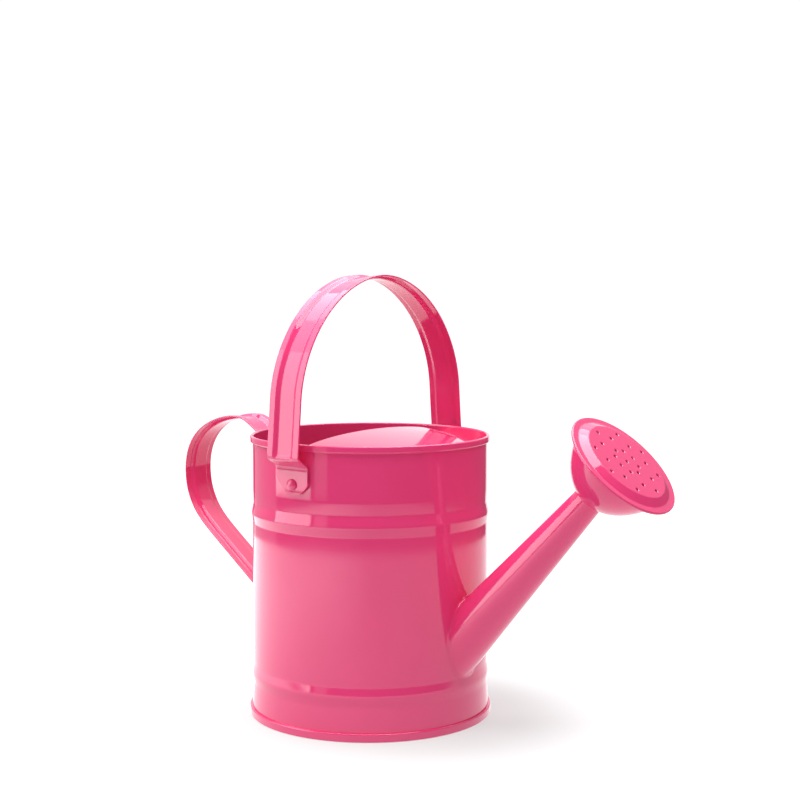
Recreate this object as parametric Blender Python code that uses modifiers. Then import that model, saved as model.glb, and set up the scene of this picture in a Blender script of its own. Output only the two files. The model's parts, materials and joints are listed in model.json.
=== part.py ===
"""Small painted sheet-metal watering can: metres, +Z up, spout towards +X, bail hinge along Y."""
import math

import bmesh
import bpy
from mathutils import Matrix, Vector
from mathutils.geometry import interpolate_bezier

CAN_AXIS_X = -0.0244       # the can's upright axis, behind the middle of the whole object

# ---- body wall -------------------------------------------------------------------------------
WALL_R = 0.0660            # outer radius of the plain wall
SHEET = 0.0007             # wall sheet
HEIGHT = 0.1570            # top of the rolled rim
RIM_R = 0.0673             # outer radius of the rolled rim
RIM_H = 0.0037             # height of the rolled rim
BAND_Z = 0.1140            # crest of the upper band
BAND_RISE = 0.00075        # how far each band stands out
BAND_LOW_Z = 0.0234        # crest of the lower band
BAND_HALF = 0.0052         # half height of a band
SKIRT_R = 0.0668           # radius the flared skirt reaches above the foot seam
GAP = 0.0003               # clearance between touching pieces
ROUND = 48                 # facets round the body

# ---- foot seam and base ----------------------------------------------------------------------
HEM_R = 0.0682             # outer radius of the foot seam
HEM_H = 0.0046             # height of the foot seam
HEM_SHEET = 0.0005
BASE_RECESS = 0.0032       # underside of the base disc above the ground
BASE_SHEET = 0.0008

# ---- splash cover ----------------------------------------------------------------------------
COVER_CHORD_X = 0.0020     # straight edge of the half lid
COVER_FRONT_Z = 0.1455     # edge height on the spout side
COVER_TILT = 0.0068        # how much higher the edge is above the can's axis
COVER_RISE = 0.0076        # doming
COVER_POWER = 0.61

# ---- spout -----------------------------------------------------------------------------------
SPOUT_FOOT_Z = 0.0509      # the spout's axis crosses the wall here
SPOUT_ANGLE = math.radians(47.06)
SPOUT_R = 0.01447          # outer radius where the axis crosses the wall
SPOUT_TAPER = 0.0577
SPOUT_LEN = 0.1134
SPOUT_SHEET = 0.0006
SPOUT_ROOT = -0.024        # start of the cone before it is cut to the wall
SPOUT_ROUND = 32           # facets round the spout
BORE_LOW = -0.020          # length of the cutter for the opening into the spout
BORE_HIGH = 0.030
DRUM_LOW = -0.020          # height range of the drum that trims parts to the wall
DRUM_HIGH = 0.140
SEAM_R = 0.0012            # solder bead round the foot
SEAM_LIFT = 0.0002         # its middle stands this far off the corner
SEAM_POINTS = 48
SEAM_REACH = 0.045         # the foot lies within this distance along the spout

# ---- rose ------------------------------------------------------------------------------------
ROSE_X = 0.1631            # centre of the face
ROSE_Z = 0.1531
ROSE_ANGLE = math.radians(46.2)
ROSE_SHEET = 0.0005
ROSE_ROUND = 40            # facets round the rose
FACE_R = 0.0240            # raised disc
FACE_FOOT_R = 0.0285       # foot of the slope round the disc
FACE_STEP = 0.0023         # height of the disc above the flange
FLANGE_R = 0.0323
FLANGE_T = 0.0013          # height of the skirt round the flange
SKIRT_T = 0.0009           # its thickness
BOWL_OFFSET = 0.0010       # the bowl is soldered on this far above the face's axis
BOWL_R = 0.0298            # ellipse that the bowl's section follows
BOWL_DEPTH = 0.0436
BOWL_CENTRE = 0.0126
BOWL_BACK = -0.0292        # where the bowl opens for the spout
HOLE_R = 0.0008
HOLE_RINGS = ((0.0078, 0.0), (0.0156, 22.5), (0.0206, 0.0))
HOLES_PER_RING = 8
HOLE_PHASE = 10.5          # degrees
DRILL_LENGTH = 0.004

# ---- pressed strap used for both handles -----------------------------------------------------
STRAP_W = 0.0216
STRAP_SHEET = 0.0009
CHANNEL_DEPTH = 0.0016     # the middle is pressed towards the hand
CHANNEL_HALF = 0.0048      # half width of the pressed floor
CHANNEL_SLOPE = 0.0025

# ---- bail ------------------------------------------------------------------------------------
PIVOT_Z = 0.1353
EAR_Y = 0.0673             # outer face of the ears
EAR_BOTTOM = 0.1307
EAR_TOP = 0.1446
JOGGLE_TOP = 0.1496
LEG_Y = 0.0752             # outer face of the legs at the joggle
ARCH_A = 0.0727            # half width of the arch
ARCH_B = 0.0696            # height of the arch above its springing
ARCH_Z = 0.1766
ARCH_POWER = 1.89          # 2 is an ellipse; less is more pointed
EAR_REAR_Z = 0.1385        # the rear corner is snipped off below this height
EAR_REAR_SNIP = 0.85       # how fast the snip runs in
EAR_FRONT_Z = 0.1352
EAR_FRONT_SNIP = 1.0
JOGGLE_R = 0.0022          # bend radius at both ends of the joggle
ARCH_STEPS = 17
PIN_R = 0.0020
PIN_PLAY = 0.00006         # running fit of the pin in the ear
PIN_FACETS = 24
PIN_CUT = 0.004            # half length of the cutter for the pin's hole in the wall
HEAD_R = 0.0031
HEAD_H = 0.0019
TAIL_R = 0.0030
TAIL_H = 0.0012

# ---- rear handle -----------------------------------------------------------------------------
TAB_X = -(WALL_R + GAP + STRAP_SHEET)
TAB_TOP_LOW = 0.1385       # lower end of the upper tab
TAB_TOP_BEND = 0.1470
REAR_LEAD = (-0.0765, 0.1552)      # where the strap has cleared the rim
REAR_TOP = (-0.0930, 0.1630)       # crown of the loop
REAR_BACK = (-0.1347, 0.1276)      # rearmost point
REAR_STRAIGHT = (-0.1142, 0.0911)  # start of the straight run to the foot
REAR_SLOPE = math.radians(38.4)
LEAD_PULL = 0.0050         # the pulls set how fast the loop's curve bends at each point
TOP_PULL = (0.0070, 0.0120)
BACK_PULL = (0.0290, 0.0190)
STRAIGHT_PULL = 0.0120
TAB_BEND_R = 0.0030
FOOT_BEND_R = 0.0040
TAB_FOOT_LOW = 0.0400

PINK = (0.80, 0.055, 0.190, 1.0)


def start_scene():
    """Two collections, and an empty on the can's upright axis that carries every part."""
    for item in list(bpy.data.objects):
        bpy.data.objects.remove(item, do_unlink=True)
    made = []
    for name in ("watering_can", "cutters"):
        group = bpy.data.collections.new(name)
        bpy.context.scene.collection.children.link(group)
        made.append(group)
    axis = bpy.data.objects.new("can_axis", None)
    axis.location = (CAN_AXIS_X, 0.0, 0.0)
    made[0].objects.link(axis)
    return made


def place(item, group, matrix):
    group.objects.link(item)
    item.parent = bpy.data.objects["can_axis"]
    if matrix is not None:
        item.matrix_basis = matrix


def paint(name):
    mat = bpy.data.materials.new(name)
    mat.use_nodes = True
    shader = mat.node_tree.nodes["Principled BSDF"]
    shader.inputs["Base Color"].default_value = PINK
    shader.inputs["Roughness"].default_value = 0.18
    shader.inputs["Metallic"].default_value = 0.0
    mat.diffuse_color = PINK
    return mat


def add_part(name, mesh, group, matrix=None):
    item = bpy.data.objects.new(name, mesh)
    place(item, group, matrix)
    mesh.materials.append(paint(name + "_paint"))
    for face in mesh.polygons:
        face.use_smooth = True
    return item


def add_cutter(name, mesh, group, matrix=None):
    item = bpy.data.objects.new(name, mesh)
    place(item, group, matrix)
    item.hide_render = True
    item.display_type = "WIRE"
    return item


def cut(item, cutter):
    mod = item.modifiers.new(cutter.name, "BOOLEAN")
    mod.object = cutter
    mod.operation = "DIFFERENCE"
    mod.solver = "EXACT"


def turn(item, steps):
    """Spins the profile at +X about the object's Z axis."""
    mod = item.modifiers.new("turn", "SCREW")
    mod.axis = "Z"
    mod.angle = math.tau
    mod.steps = steps
    mod.render_steps = steps
    mod.use_merge_vertices = True
    mod.merge_threshold = 0.00005
    mod.use_smooth_shade = True


def profile_mesh(name, points, closed):
    """Edges in the XZ plane through (radius, height) points."""
    mesh = bpy.data.meshes.new(name)
    count = len(points)
    edges = [(i, i + 1) for i in range(count - 1)]
    if closed:
        edges.append((count - 1, 0))
    mesh.from_pydata([(r, 0.0, z) for r, z in points], edges, [])
    return mesh


def frustum(name, low, high, r_low, r_high, facets):
    """Closed cone along local Z."""
    bm = bmesh.new()
    bmesh.ops.create_cone(bm, cap_ends=True, segments=facets, radius1=r_low, radius2=r_high,
                          depth=high - low, matrix=Matrix.Translation((0, 0, (low + high) / 2)))
    mesh = bpy.data.meshes.new(name)
    bm.to_mesh(mesh)
    bm.free()
    return mesh


def fillet(a, corner, b, radius, count):
    """Points of an arc that rounds the corner between a and b."""
    into = (corner - a).normalized()
    out = (b - corner).normalized()
    turn_angle = into.angle(out)
    back = radius * math.tan(turn_angle / 2)
    start = corner - into * back
    end = corner + out * back
    handle = radius * math.tan(turn_angle / 4) * 4 / 3
    return interpolate_bezier(start, start + into * handle, end - out * handle, end, count)


# ---- body ------------------------------------------------------------------------------------
def outer_wall():
    """Outer side of the wall from the rim down to the foot."""
    rim_low = HEIGHT - RIM_H
    return [
        (WALL_R + 0.0002, HEIGHT), (RIM_R - 0.0004, HEIGHT - 0.0003), (RIM_R, HEIGHT - 0.0011),
        (RIM_R, rim_low + 0.0011), (RIM_R - 0.0004, rim_low + 0.0003), (WALL_R, rim_low),
        (WALL_R, BAND_Z + 0.0130), (WALL_R - 0.0003, BAND_Z + BAND_HALF + 0.0004),
        (WALL_R + BAND_RISE, BAND_Z), (WALL_R, BAND_Z - BAND_HALF),
        (WALL_R, BAND_LOW_Z + BAND_HALF), (WALL_R + BAND_RISE, BAND_LOW_Z),
        (WALL_R, BAND_LOW_Z - BAND_HALF), (SKIRT_R - 0.0003, 0.0110), (SKIRT_R, HEM_H + 0.0005),
    ]


def build_wall(group, cutters):
    outer = outer_wall()
    flange = HEM_R - HEM_SHEET - GAP
    seam_low = HEM_SHEET + GAP + 0.0001
    foot = [(SKIRT_R, 0.0038), (flange, 0.0034), (flange, seam_low), (SKIRT_R - SHEET, seam_low)]
    inner = [(r - SHEET, z) for r, z in reversed(outer[5:])]
    inner.append((WALL_R - SHEET, HEIGHT - 0.0004))
    mesh = profile_mesh("body_wall", outer + foot + inner, True)
    wall = add_part("body_wall", mesh, group)
    turn(wall, ROUND)
    bore = spout_cone("spout_bore_cut", -SPOUT_SHEET, BORE_LOW, BORE_HIGH)
    cut(wall, add_cutter("spout_bore_cut", bore, cutters, spout_matrix()))
    for side, name in ((1, "left"), (-1, "right")):
        pin = frustum("pin_hole_" + name, -PIN_CUT, PIN_CUT, PIN_R + GAP, PIN_R + GAP, PIN_FACETS)
        cut(wall, add_cutter("pin_hole_" + name, pin, cutters, pivot_matrix(side)))
    return wall


def build_base(group):
    top = BASE_RECESS + BASE_SHEET
    leg_out = SKIRT_R - SHEET - GAP
    leg_in = leg_out - 0.0006
    lip = SKIRT_R + GAP
    under = HEM_H - HEM_SHEET
    channel = HEM_R - HEM_SHEET
    points = [
        (0.0, top), (leg_out - 0.0006, top), (leg_out, top - 0.0006), (leg_out, HEM_SHEET),
        (channel, HEM_SHEET), (channel, under), (lip, under), (lip, HEM_H),
        (HEM_R - 0.0005, HEM_H), (HEM_R, HEM_H - 0.0006), (HEM_R, 0.0004),
        (HEM_R - 0.0004, 0.0), (leg_in + 0.0003, 0.0), (leg_in, 0.0004),
        (leg_in - 0.0002, BASE_RECESS), (0.0, BASE_RECESS),
    ]
    base = add_part("base_plate", profile_mesh("base_plate", points, False), group)
    turn(base, ROUND)
    return base


def build_cover(group):
    """Half of a tilted dome that fits inside the wall."""
    radius = WALL_R - SHEET - GAP
    rings = 8
    bm = bmesh.new()
    crown = bm.verts.new((0.0, 0.0, cover_height(0.0, 0.0, radius)))
    last = None
    for ring in range(1, rings + 1):
        r = radius * math.sin(math.pi / 2 * ring / rings)
        loop = []
        for step in range(ROUND):
            angle = math.tau * step / ROUND
            x = r * math.cos(angle)
            loop.append(bm.verts.new((x, r * math.sin(angle), cover_height(x, r, radius))))
        for step in range(ROUND):
            following = (step + 1) % ROUND
            if last is None:
                bm.faces.new((crown, loop[step], loop[following]))
            else:
                bm.faces.new((last[step], loop[step], loop[following], last[following]))
        last = loop
    geometry = bm.verts[:] + bm.edges[:] + bm.faces[:]
    bmesh.ops.bisect_plane(bm, geom=geometry, plane_co=(COVER_CHORD_X, 0, 0),
                           plane_no=(-1, 0, 0), clear_outer=True)
    mesh = bpy.data.meshes.new("splash_cover")
    bm.to_mesh(mesh)
    bm.free()
    cover = add_part("splash_cover", mesh, group)
    shell = cover.modifiers.new("sheet", "SOLIDIFY")
    shell.thickness = SHEET
    shell.offset = -1.0
    return cover


def cover_height(x, r, radius):
    dome = max(0.0, 1.0 - (r / radius) ** 2) ** COVER_POWER
    return COVER_FRONT_Z + COVER_RISE * dome + COVER_TILT * (1.0 - x / radius)


# ---- spout -----------------------------------------------------------------------------------
def spout_matrix():
    turned = Matrix.Rotation(math.pi / 2 - SPOUT_ANGLE, 4, "Y")
    return Matrix.Translation((WALL_R, 0.0, SPOUT_FOOT_Z)) @ turned


def spout_radius(along):
    return SPOUT_R - SPOUT_TAPER * along


def spout_cone(name, grow, low, high):
    return frustum(name, low, high, spout_radius(low) + grow, spout_radius(high) + grow,
                   SPOUT_ROUND)


def trim_to_wall(item, name, cutters):
    radius = WALL_R + GAP
    drum = frustum(name, DRUM_LOW, DRUM_HIGH, radius, radius, ROUND * 2)
    cut(item, add_cutter(name, drum, cutters))


def build_spout(group, cutters):
    mouth = spout_radius(SPOUT_LEN)
    root = spout_radius(SPOUT_ROOT)
    points = [(mouth, SPOUT_LEN), (root, SPOUT_ROOT), (root - SPOUT_SHEET, SPOUT_ROOT),
              (mouth - SPOUT_SHEET, SPOUT_LEN)]
    tube = add_part("spout_tube", profile_mesh("spout_tube", points, True), group, spout_matrix())
    turn(tube, SPOUT_ROUND)
    trim_to_wall(tube, "saddle_cut", cutters)
    return tube


def seam_path(grow, count):
    """Closed curve where the grown spout meets the grown wall."""
    frame = spout_matrix()
    points = []
    for step in range(count):
        angle = math.tau * step / count
        low, high = -SEAM_REACH, SEAM_REACH
        for _ in range(40):
            mid = (low + high) / 2
            r = spout_radius(mid) + grow
            spot = frame @ Vector((r * math.cos(angle), r * math.sin(angle), mid))
            if math.hypot(spot.x, spot.y) < WALL_R + grow:
                low = mid
            else:
                high = mid
        points.append(spot)
    return points


def build_seam(group, cutters):
    points = seam_path(GAP + SEAM_LIFT, SEAM_POINTS)
    curve = bpy.data.curves.new("seam_path", "CURVE")
    curve.dimensions = "3D"
    line = curve.splines.new("POLY")
    line.points.add(len(points) - 1)
    for point, spot in zip(line.points, points):
        point.co = (*spot, 1.0)
    line.use_cyclic_u = True
    curve.bevel_depth = SEAM_R
    curve.bevel_resolution = 1
    sweep = bpy.data.objects.new("seam_sweep", curve)
    cutters.objects.link(sweep)
    bpy.context.view_layer.update()
    mesh = bpy.data.meshes.new_from_object(sweep)
    bpy.data.objects.remove(sweep, do_unlink=True)
    bm = bmesh.new()
    bm.from_mesh(mesh)
    bmesh.ops.remove_doubles(bm, verts=bm.verts, dist=0.00001)
    bmesh.ops.recalc_face_normals(bm, faces=bm.faces)
    bm.to_mesh(mesh)
    bm.free()
    mesh.name = "spout_seam"
    mesh.materials.clear()
    seam = add_part("spout_seam", mesh, group)
    trim_to_wall(seam, "seam_wall_cut", cutters)
    core = spout_cone("seam_spout_cut", GAP, -SEAM_REACH, SEAM_REACH)
    cut(seam, add_cutter("seam_spout_cut", core, cutters, spout_matrix()))
    return seam


# ---- rose ------------------------------------------------------------------------------------
def rose_matrix(offset=0.0):
    """Local Z along the rose's axis; the offset is towards the upper side."""
    turned = Matrix.Rotation(math.pi / 2 - ROSE_ANGLE, 4, "Y")
    moved = Matrix.Translation((-offset, 0.0, 0.0))
    return Matrix.Translation((ROSE_X, 0.0, ROSE_Z)) @ turned @ moved


def bowl_radius(depth):
    return BOWL_R * math.sqrt(1.0 - ((depth - BOWL_CENTRE) / BOWL_DEPTH) ** 2)


def build_bowl(group):
    flange_top = -FACE_STEP - ROSE_SHEET - GAP
    flange_low = flange_top - ROSE_SHEET
    edge = FLANGE_R - SKIRT_T - GAP - BOWL_OFFSET
    points = [(bowl_radius(flange_top) - ROSE_SHEET, flange_top), (edge, flange_top),
              (edge, flange_low)]
    start = math.acos((BOWL_CENTRE - flange_low) / BOWL_DEPTH)
    end = math.acos((BOWL_CENTRE - BOWL_BACK) / BOWL_DEPTH)
    arc = []
    for step in range(8):
        angle = start + (end - start) * step / 7
        arc.append((BOWL_R * math.sin(angle), BOWL_CENTRE - BOWL_DEPTH * math.cos(angle)))
    points += arc
    shrink = 1.0 - ROSE_SHEET / BOWL_R
    for r, z in reversed(arc[1:]):
        points.append((r * shrink, BOWL_CENTRE + (z - BOWL_CENTRE) * shrink))
    mesh = profile_mesh("rose_bowl", points, True)
    bowl = add_part("rose_bowl", mesh, group, rose_matrix(BOWL_OFFSET))
    turn(bowl, ROSE_ROUND)
    return bowl


def build_face(group, cutters):
    t = ROSE_SHEET
    top = -FACE_STEP
    low = top - FLANGE_T
    points = [
        (0.0, 0.0), (FACE_R - 0.0004, 0.0), (FACE_R + 0.0003, -0.0003),
        (FACE_FOOT_R - 0.0004, top + 0.0001), (FACE_FOOT_R + 0.0004, top),
        (FLANGE_R - 0.0005, top), (FLANGE_R, top - 0.0005), (FLANGE_R - 0.0002, low + 0.0002),
        (FLANGE_R - 0.0005, low), (FLANGE_R - SKIRT_T, low), (FLANGE_R - SKIRT_T, top - t),
        (FACE_FOOT_R, top - t),
        (FACE_R, -t - 0.0001), (0.0, -t),
    ]
    face = add_part("rose_face", profile_mesh("rose_face", points, False), group, rose_matrix())
    turn(face, ROSE_ROUND)
    drill = bmesh.new()
    spots = [(0.0, 0.0)]
    for radius, offset in HOLE_RINGS:
        for step in range(HOLES_PER_RING):
            angle = math.radians(HOLE_PHASE + offset + 360.0 * step / HOLES_PER_RING)
            spots.append((radius * math.cos(angle), radius * math.sin(angle)))
    for x, y in spots:
        bmesh.ops.create_cone(drill, cap_ends=True, segments=8, radius1=HOLE_R,
                              radius2=HOLE_R, depth=DRILL_LENGTH,
                              matrix=Matrix.Translation((x, y, 0)))
    mesh = bpy.data.meshes.new("hole_drills")
    drill.to_mesh(mesh)
    drill.free()
    cut(face, add_cutter("hole_drills", mesh, cutters, rose_matrix()))
    return face


# ---- strap handles ---------------------------------------------------------------------------
def channel_columns():
    """Across the strap: (position, share of the full channel depth)."""
    half = STRAP_W / 2
    wall = CHANNEL_HALF + CHANNEL_SLOPE
    return [(-half, 0.0), (-wall, 0.0), (-CHANNEL_HALF, 1.0), (0.0, 1.0),
            (CHANNEL_HALF, 1.0), (wall, 0.0), (half, 0.0)]


def smooth(value, low, high):
    share = min(1.0, max(0.0, (value - low) / (high - low)))
    return share * share * (3.0 - 2.0 * share)


def path_normals(path):
    """Left-hand normals of a planar path of (u, z) points."""
    normals = []
    for i in range(len(path)):
        ahead = path[min(i + 1, len(path) - 1)] - path[max(i - 1, 0)]
        ahead.normalize()
        normals.append(Vector((-ahead.y, ahead.x)))
    return normals


def sheet_mesh(name, rows):
    """Quads between rows of points."""
    bm = bmesh.new()
    grid = [[bm.verts.new(spot) for spot in row] for row in rows]
    for low, high in zip(grid, grid[1:]):
        for i in range(len(low) - 1):
            bm.faces.new((low[i], low[i + 1], high[i + 1], high[i]))
    mesh = bpy.data.meshes.new(name)
    bm.to_mesh(mesh)
    bm.free()
    return mesh


def thicken(item):
    shell = item.modifiers.new("sheet", "SOLIDIFY")
    shell.thickness = STRAP_SHEET
    shell.offset = -1.0
    shell.use_even_offset = True


def bail_half_path():
    """Outer face of one leg from the ear's lower end to the crown, as (distance out, height)."""
    ear_low = Vector((EAR_Y, EAR_BOTTOM))
    ear_bend = Vector((EAR_Y, EAR_TOP))
    leg_bend = Vector((LEG_Y, JOGGLE_TOP))
    spring = Vector((ARCH_A, ARCH_Z))
    path = [ear_low.lerp(ear_bend, share) for share in (0.0, 0.33, 0.62)]
    path += fillet(ear_low, ear_bend, leg_bend, JOGGLE_R, 4)
    path += fillet(ear_bend, leg_bend, spring, JOGGLE_R, 5)
    path += [leg_bend.lerp(spring, share) for share in (0.35, 0.65)]
    for step in range(ARCH_STEPS + 1):
        angle = math.pi / 2 * step / ARCH_STEPS
        out = ARCH_A * max(0.0, math.cos(angle)) ** (2 / ARCH_POWER)
        path.append(Vector((out, ARCH_Z + ARCH_B * math.sin(angle) ** (2 / ARCH_POWER))))
    path[-1].x = 0.0
    return path


def ear_edges(height):
    """The ears' lower corners are snipped off, the one towards the rear more."""
    half = STRAP_W / 2
    rear = -half + EAR_REAR_SNIP * max(0.0, EAR_REAR_Z - height)
    front = half - EAR_FRONT_SNIP * max(0.0, EAR_FRONT_Z - height)
    return rear, front


def build_bail(group, cutters):
    half_path = bail_half_path()
    path = [Vector((-p.x, p.y)) for p in half_path] + list(reversed(half_path[:-1]))
    normals = path_normals(path)
    rows = []
    for spot, normal in zip(path, normals):
        depth = CHANNEL_DEPTH * smooth(spot.y, JOGGLE_TOP - 0.0012, JOGGLE_TOP + 0.0022)
        rear, front = ear_edges(spot.y)
        row = []
        for across, share in channel_columns():
            x = rear + (front - rear) * (across / STRAP_W + 0.5)
            out = spot - normal * depth * share
            row.append((x, out.x, out.y - PIVOT_Z))
        rows.append(row)
    mesh = sheet_mesh("bail_handle", rows)
    bail = add_part("bail_handle", mesh, group, Matrix.Translation((0, 0, PIVOT_Z)))
    thicken(bail)
    radius = PIN_R + PIN_PLAY
    pin = frustum("ear_holes", -0.080, 0.080, radius, radius, PIN_FACETS)
    turned = Matrix.Translation((0, 0, PIVOT_Z)) @ Matrix.Rotation(math.pi / 2, 4, "X")
    cut(bail, add_cutter("ear_holes", pin, cutters, turned))
    return bail


def pivot_matrix(side):
    """Local Z points outwards along the hinge axis; side is +1 at +Y."""
    turned = Matrix.Rotation(-math.pi / 2 * side, 4, "X")
    return Matrix.Translation((0, side * WALL_R, PIVOT_Z)) @ turned


def build_rivet(name, side, group):
    head = EAR_Y + GAP - WALL_R
    tail = -SHEET - GAP
    points = [(0.0, head + HEAD_H)]
    for step in range(1, 4):
        angle = math.pi / 2 * step / 4
        points.append((HEAD_R * math.sin(angle), head + 0.0003 + (HEAD_H - 0.0003) * math.cos(angle)))
    points += [(HEAD_R, head + 0.0003), (HEAD_R - 0.0002, head), (PIN_R, head), (PIN_R, tail),
               (TAIL_R, tail), (TAIL_R, tail - TAIL_H * 0.5), (TAIL_R * 0.7, tail - TAIL_H),
               (0.0, tail - TAIL_H)]
    rivet = add_part(name, profile_mesh(name, points, False), group, pivot_matrix(side))
    turn(rivet, PIN_FACETS)
    return rivet


def rear_path():
    """Outer face of the rear handle from the upper tab round to the foot tab, as (x, z)."""
    tab_low = Vector((TAB_X, TAB_TOP_LOW))
    tab_bend = Vector((TAB_X, TAB_TOP_BEND + 0.0030))
    lead = Vector(REAR_LEAD)
    top = Vector(REAR_TOP)
    back = Vector(REAR_BACK)
    straight = Vector(REAR_STRAIGHT)
    along = Vector((math.cos(REAR_SLOPE), -math.sin(REAR_SLOPE)))
    foot_bend = straight + along * ((TAB_X - straight.x) / along.x)
    foot_low = Vector((TAB_X, TAB_FOOT_LOW))
    path = [tab_low, tab_low.lerp(tab_bend, 0.4)]
    path += fillet(tab_low, tab_bend, lead, TAB_BEND_R, 5)
    rise = (lead - tab_bend).normalized()
    path += interpolate_bezier(lead, lead + rise * LEAD_PULL,
                               top + Vector((TOP_PULL[0], 0)), top, 8)
    path += interpolate_bezier(top, top - Vector((TOP_PULL[1], 0)),
                               back + Vector((0, BACK_PULL[0])), back, 15)[1:]
    path += interpolate_bezier(back, back - Vector((0, BACK_PULL[1])),
                               straight - along * STRAIGHT_PULL, straight, 10)[1:]
    path += [straight.lerp(foot_bend, share) for share in (0.45, 0.80)]
    path += fillet(straight, foot_bend, foot_low, FOOT_BEND_R, 5)
    path.append(foot_low)
    return path


def build_rear(group):
    path = rear_path()
    normals = path_normals(path)
    rows = []
    for spot, normal in zip(path, normals):
        out = -spot.x - WALL_R
        depth = CHANNEL_DEPTH * smooth(out, 0.0035, 0.0100)
        hug = 1.0 - smooth(out, 0.0014, 0.0090)
        row = []
        for across, share in reversed(channel_columns()):
            pressed = spot + normal * depth * share
            sag = WALL_R - math.sqrt(WALL_R ** 2 - across ** 2)
            row.append((pressed.x + sag * hug, across, pressed.y))
        rows.append(row)
    rear = add_part("rear_handle", sheet_mesh("rear_handle", rows), group)
    thicken(rear)
    return rear


def main():
    group, cutters = start_scene()
    build_wall(group, cutters)
    build_base(group)
    build_cover(group)
    build_spout(group, cutters)
    build_seam(group, cutters)
    build_bowl(group)
    build_face(group, cutters)
    build_bail(group, cutters)
    build_rivet("bail_rivet_left", 1, group)
    build_rivet("bail_rivet_right", -1, group)
    build_rear(group)


main()
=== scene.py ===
"""Looks of the small painted sheet-metal watering can: metres, +Z up, spout towards +X."""
import json
import math

import bmesh
import bpy
import numpy as np
from mathutils import Matrix, Vector
from mathutils.geometry import interpolate_bezier


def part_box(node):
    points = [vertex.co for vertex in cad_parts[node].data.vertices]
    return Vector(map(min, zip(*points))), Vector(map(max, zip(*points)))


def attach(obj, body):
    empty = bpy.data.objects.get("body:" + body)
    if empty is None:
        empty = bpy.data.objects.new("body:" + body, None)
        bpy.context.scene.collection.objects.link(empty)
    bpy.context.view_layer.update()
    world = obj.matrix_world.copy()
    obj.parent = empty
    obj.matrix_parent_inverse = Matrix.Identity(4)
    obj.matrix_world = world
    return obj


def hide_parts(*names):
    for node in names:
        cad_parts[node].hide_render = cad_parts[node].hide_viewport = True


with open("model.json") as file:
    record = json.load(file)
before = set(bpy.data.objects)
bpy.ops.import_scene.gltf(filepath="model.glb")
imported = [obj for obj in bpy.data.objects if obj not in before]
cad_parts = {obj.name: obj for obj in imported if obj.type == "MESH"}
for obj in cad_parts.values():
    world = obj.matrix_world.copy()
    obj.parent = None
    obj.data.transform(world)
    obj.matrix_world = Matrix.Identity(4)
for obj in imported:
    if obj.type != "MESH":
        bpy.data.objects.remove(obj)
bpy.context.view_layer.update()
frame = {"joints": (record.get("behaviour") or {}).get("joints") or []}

# ---- places read from the model --------------------------------------------------------------
HINGE = Vector(frame["joints"][0]["pos_m"])
FOOT_LOW, FOOT_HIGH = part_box("base_plate")
AXIS_X = (FOOT_LOW.x + FOOT_HIGH.x) / 2
HEM_R = FOOT_HIGH.y          # outer radius of the foot seam
HEM_H = FOOT_HIGH.z          # its height
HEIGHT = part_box("body_wall")[1].z
STRAP_HALF = (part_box("bail_handle")[1].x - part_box("bail_handle")[0].x) / 2
FLANGE_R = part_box("rose_face")[1].y
CAN = Matrix.Translation((AXIS_X, 0.0, 0.0))

# ---- mesh ------------------------------------------------------------------------------------
CREASE = 38.0          # degrees past which an edge stays sharp
SUPPORT = 0.00012      # flat left beside a rounded corner
WELD = 0.000002        # points this close after a cut are joined
BODY_FACETS = 240
ROUND_FACETS = 192
SMALL_FACETS = 64

# ---- body ------------------------------------------------------------------------------------
WALL_R = 0.0660              # outer radius of the wall
SHEET = 0.0007               # its thickness
RIM_R = 0.0673               # the rolled rim
RIM_H = 0.0037
RIM_SOFT = (0.0009, 0.0011, 0.0010, 0.0003)  # rounding from the rim's inside round to its foot
BAND_Z = 0.1140              # middle of the upper bead band
BAND_LOW_Z = 0.0234          # and of the lower one
BAND_RISE = 0.00075
BAND_HALF = 0.0052
BAND_SOFT = (0.006, 0.008)   # rounding of a band's crest or top edge, and of its lower edge
BAND_LEAD = (0.0130, 0.030)  # the slight dip over the upper band: how high it starts, rounding
BAND_DIP = 0.0003
BAND_GAP = 0.0004
SKIRT_R = 0.0668             # the flared skirt under the lower band
SKIRT_SOFT = 0.010
SKIRT_TUCK = 0.0010          # how far it reaches down into the foot seam
INSIDE_TOP = 0.030           # height over the upper band where the plain inside starts
BORE_ENDS = (-0.020, 0.030)  # the spout's hole through the wall, along the spout
BASE_RECESS = 0.0032         # how far the base stands over the floor
BASE_SHEET = 0.0008
HEM_TUCK = 0.0008            # top of the seam's fold inside the skirt, under the seam's top
HEM_GAP = 0.0001
COVER_CHORD_X = 0.0020       # straight edge of the half lid, in the can's frame
COVER_FRONT_Z = 0.1455       # its edge on the spout's side
COVER_TILT = 0.0068          # how much higher the edge is above the can's axis
COVER_RISE = 0.0076          # doming
COVER_POWER = 0.61           # below 1 is flatter in the middle than a ball
COVER_INSET = 0.9            # share of the wall's sheet that the lid reaches into
COVER_ROWS = 72
COVER_COLUMNS = 96
COVER_WELD = 0.000004

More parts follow.
